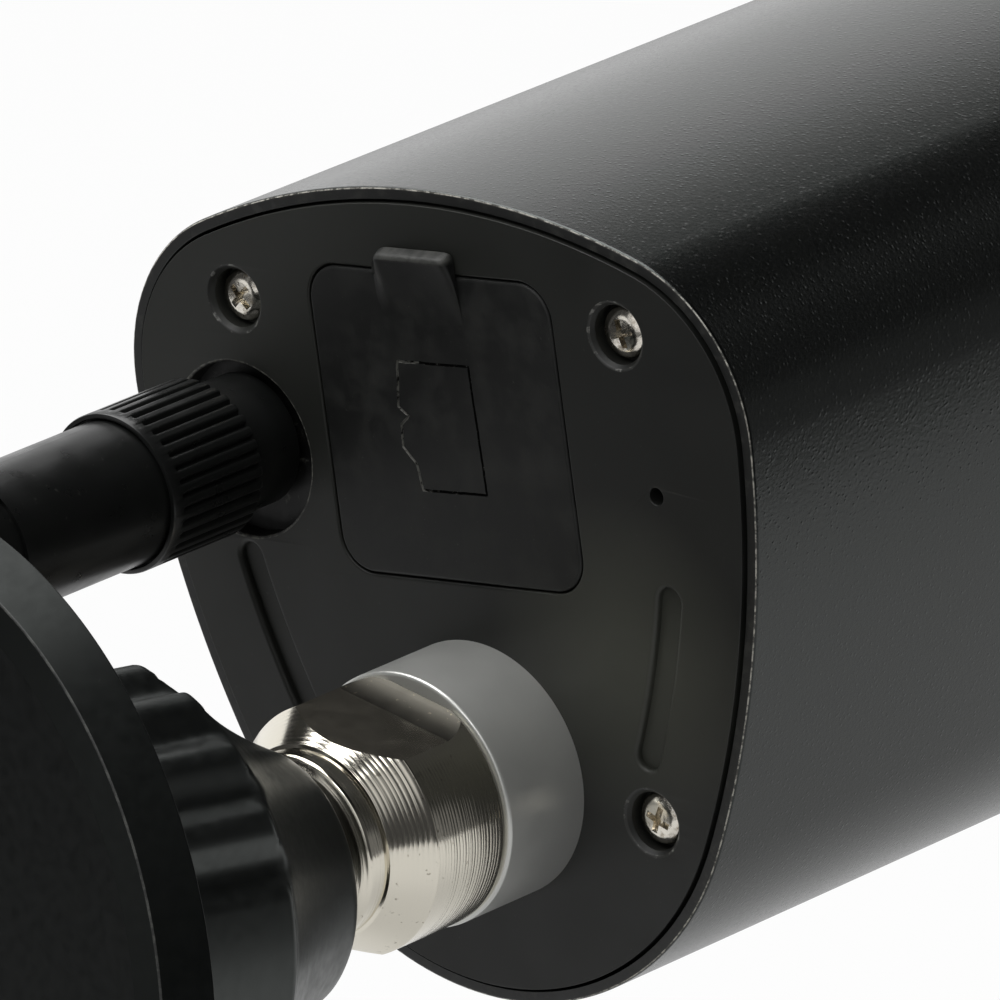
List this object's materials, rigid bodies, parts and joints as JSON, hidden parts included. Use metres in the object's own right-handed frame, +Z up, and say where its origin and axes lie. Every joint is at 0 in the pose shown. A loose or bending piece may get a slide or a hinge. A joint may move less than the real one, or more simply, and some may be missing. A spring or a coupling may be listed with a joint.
{
  "type": "wireless security camera",
  "caption": "Outdoor bullet camera with a shield-shaped metal housing, card cover and rod antenna behind, on a ball-joint wall bracket with a fluted lock ring.",
  "frame": {"origin": "centre of the bracket's wall face, where the cable hole opens", "axes": "+Z up, wall in the XZ plane, bracket axis along +Y away from the wall; the camera stands tilted on its ball as in the picture"},
  "size_m": [0.0989, 0.2226, 0.1604],
  "materials": {
    "housing_coat": "fine powder coat, satin",
    "plate_plastic": "moulded, matte",
    "silicone": "soft",
    "bright_steel": "bright",
    "cover_rubber": "matte rubber",
    "circuit_board": "solder mask",
    "sheet_metal": "plain",
    "gilt_brass": "gilt",
    "antenna_plastic": "semi-gloss",
    "collar_metal": "satin",
    "nickel": "nickel plated, fine turned",
    "window_glass": "polished",
    "dark_plastic": "matte",
    "lens_glass": "coated",
    "led_resin": "clear resin",
    "bracket_black": "satin black coat",
    "seat_plastic": "slippery plastic"
  },
  "bodies": {
    "wall_base": {"wall_base": "bracket_black"},
    "lock_ring": {"lock_ring": "bracket_black"},
    "ball_seat": {"ball_seat": "seat_plastic"},
    "stem": {"stem": "nickel", "stem_nut": "nickel"},
    "camera": {"housing": "housing_coat", "rear_plate": "plate_plastic", "rear_gasket": "silicone", "plate_screws": "bright_steel", "sd_board": "circuit_board", "sd_socket": "sheet_metal", "microphone": "sheet_metal", "antenna_connector": "gilt_brass", "connector_nut": "gilt_brass", "connector_seal": "silicone", "stem_collar": "collar_metal", "front_bezel": "plate_plastic", "window_seal": "silicone", "front_window": "window_glass", "chassis_tray": "sheet_metal", "main_board": "circuit_board", "board_screws": "bright_steel", "heat_spreader": "sheet_metal", "wifi_module": "sheet_metal", "sensor_board": "circuit_board", "image_sensor": "dark_plastic", "lens_holder": "dark_plastic", "lens_barrel": "dark_plastic", "lens_glass": "lens_glass", "ir_board": "circuit_board", "ir_leds": "led_resin", "light_sensor": "led_resin"},
    "sd_cover": {"sd_cover": "cover_rubber"},
    "antenna_collar": {"antenna_collar": "antenna_plastic"},
    "antenna_base": {"antenna_barrel": "antenna_plastic", "knuckle_pin": "bright_steel"},
    "antenna_whip": {"antenna_whip": "antenna_plastic"}
  },
  "joints": [
    {"name": "ring_turn", "type": "hinge", "parent": "wall_base", "child": "lock_ring", "pos_m": [0, 0.0335, 0], "axis": [0, 1, 0], "range_deg": [0, 90]},
    {"name": "ball_pan", "type": "hinge", "parent": "wall_base", "child": "ball_seat", "pos_m": [0, 0.0335, 0], "axis": [0, 1, 0], "continuous": true},
    {"name": "ball_tilt", "type": "hinge", "parent": "ball_seat", "child": "stem", "pos_m": [0, 0.0335, 0], "axis": [0.6639, 0, 0.7478], "range_deg": [-30, 6]},
    {"name": "camera_roll", "type": "hinge", "parent": "stem", "child": "camera", "pos_m": [0, 0.0335, 0], "axis": [-0.135, 0.9836, 0.1199], "range_deg": [-60, 60]},
    {"name": "cover_hinge", "type": "hinge", "parent": "camera", "child": "sd_cover", "pos_m": [-0.00499, 0.06888, 0.02105], "axis": [0.9908, 0.135, 0.0082], "range_deg": [0, 85]},
    {"name": "collar_spin", "type": "hinge", "parent": "camera", "child": "antenna_collar", "pos_m": [-0.0277, 0.06452, 0.03127], "axis": [-0.135, 0.9836, 0.1199], "continuous": true},
    {"name": "antenna_swivel", "type": "hinge", "parent": "camera", "child": "antenna_base", "pos_m": [-0.0277, 0.06452, 0.03127], "axis": [0.135, -0.9836, -0.1199], "range_deg": [-30, 105]},
    {"name": "knuckle_tilt", "type": "hinge", "parent": "antenna_base", "child": "antenna_whip", "pos_m": [-0.0223, 0.02518, 0.02648], "axis": [0.9908, 0.135, 0.0082], "range_deg": [0, 20]}
  ]
}
